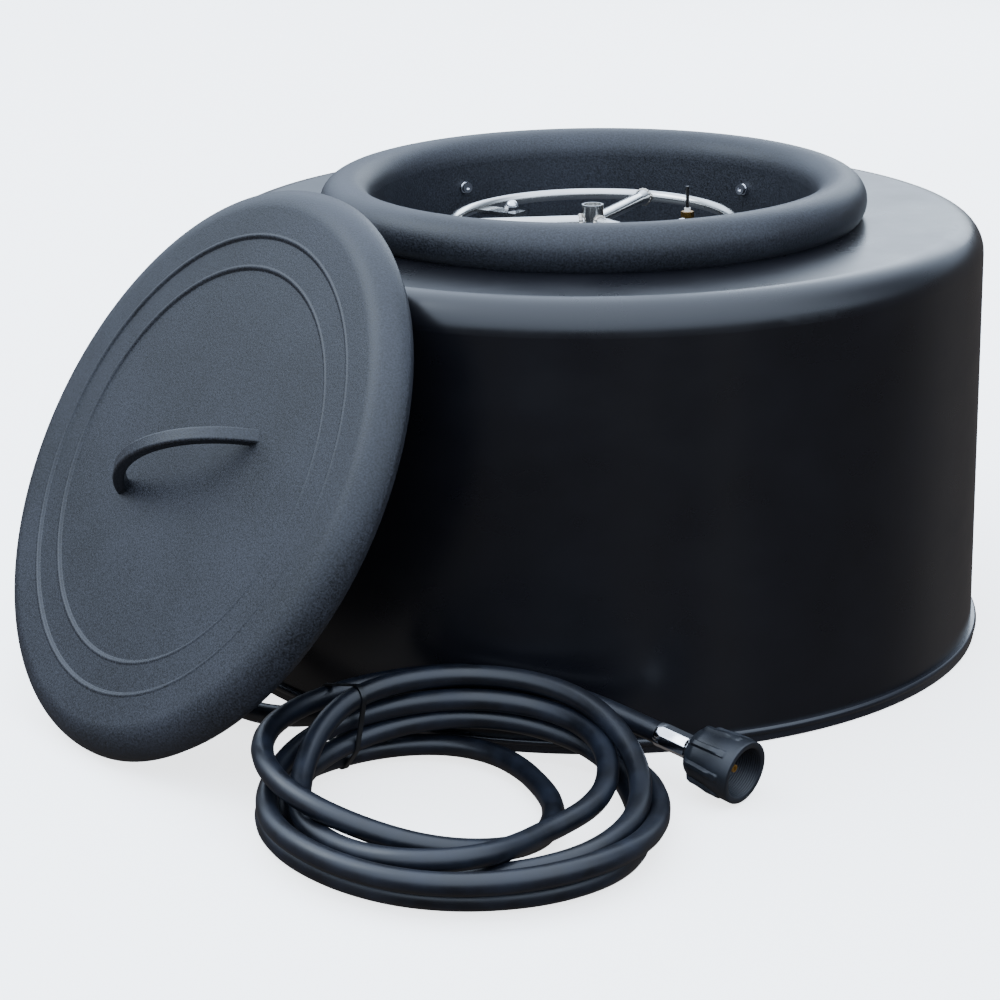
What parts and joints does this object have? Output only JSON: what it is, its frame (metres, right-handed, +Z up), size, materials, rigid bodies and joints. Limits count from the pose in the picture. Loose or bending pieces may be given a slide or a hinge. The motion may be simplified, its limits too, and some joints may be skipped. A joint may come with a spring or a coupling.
{
  "type": "portable gas fire pit",
  "caption": "Round drum-shaped gas fire pit with a rolled-rim fire bowl, ring burner, spark igniter, lift-off lid leaning on its side, and a coiled gas hose with a bottle connector.",
  "frame": {"origin": "on the drum's axis at the level of the floor it stands on", "axes": "+Z up along the drum's axis; -Y is the front, where the hose lies; the lid leans at the front left"},
  "size_m": [0.7562, 0.8995, 0.3822],
  "materials": {
    "drum_paint": "gloss black enamel",
    "hot_coat": "fine-textured matte powder coat",
    "stainless": "polished stainless tube",
    "chrome": "bright plated",
    "brass": "turned",
    "zinc_steel": "zinc plated sheet",
    "cast_alloy": "die cast",
    "hose_rubber": "smooth black gas hose",
    "black_plastic": "moulded, satin",
    "ceramic": "glazed white",
    "lead_red": "silicone insulation"
  },
  "bodies": {
    "drum": {"drum_shell": "drum_paint", "foot_rim": "drum_paint", "fire_bowl": "hot_coat", "bowl_floor": "hot_coat", "burner_ring": "stainless", "burner_hub": "stainless", "burner_arms": "stainless", "hub_plug": "stainless", "burner_tabs": "stainless", "burner_studs": "stainless", "electrode_rod": "stainless", "mixing_tube": "stainless", "bowl_screws": "chrome", "bowl_washers": "chrome", "acorn_nuts": "chrome", "tank_ferrule": "chrome", "inlet_ferrule": "chrome", "gas_jet": "brass", "electrode_body": "brass", "electrode_nut": "brass", "tank_nipple": "brass", "inlet_bulkhead": "brass", "inlet_elbow": "brass", "hose_swivel_nut": "brass", "inlet_locknut": "brass", "base_plate": "zinc_steel", "base_brackets": "zinc_steel", "base_screws": "zinc_steel", "bowl_brackets": "zinc_steel", "bowl_nuts": "zinc_steel", "stud_nuts": "zinc_steel", "mixer_locknut": "zinc_steel", "igniter_spring": "zinc_steel", "gas_regulator": "cast_alloy", "gas_valve": "cast_alloy", "inlet_pipe": "cast_alloy", "supply_pipe": "cast_alloy", "feed_pipe": "cast_alloy", "hose_tank_end": "hose_rubber", "hose_drum_end": "hose_rubber", "hose_coil": "hose_rubber", "control_bezel": "black_plastic", "bezel_seat": "black_plastic", "igniter_body": "black_plastic", "igniter_nut": "black_plastic", "hose_tie": "black_plastic", "electrode_ceramic": "ceramic", "ignition_lead": "lead_red"},
    "lid": {"lid_shell": "hot_coat", "lid_handle": "hot_coat", "lid_screws": "zinc_steel", "lid_washers": "zinc_steel"},
    "knob": {"control_knob": "black_plastic", "valve_stem": "brass"},
    "button": {"igniter_button": "black_plastic"},
    "handwheel": {"tank_handwheel": "black_plastic"}
  },
  "joints": [
    {"name": "lid_lift", "type": "slide", "parent": "drum", "child": "lid", "axis": [0, 0, 1], "range_m": [0, 0.4]},
    {"name": "knob_turn", "type": "hinge", "parent": "drum", "child": "knob", "pos_m": [-0.30203, 0.04245, 0.15], "axis": [-0.9903, 0.1392, 0], "range_deg": [0, 180]},
    {"name": "igniter_push", "type": "slide", "parent": "drum", "child": "button", "axis": [0.9397, -0.342, 0], "range_m": [0, 0.005], "stiffness_N_per_m": 900, "springref_m": -0.004, "deforming": ["igniter_spring"]},
    {"name": "handwheel_spin", "type": "hinge", "parent": "drum", "child": "handwheel", "pos_m": [0.09167, -0.39062, 0.02585], "axis": [0.7661, -0.6271, -0.1409], "continuous": true}
  ]
}
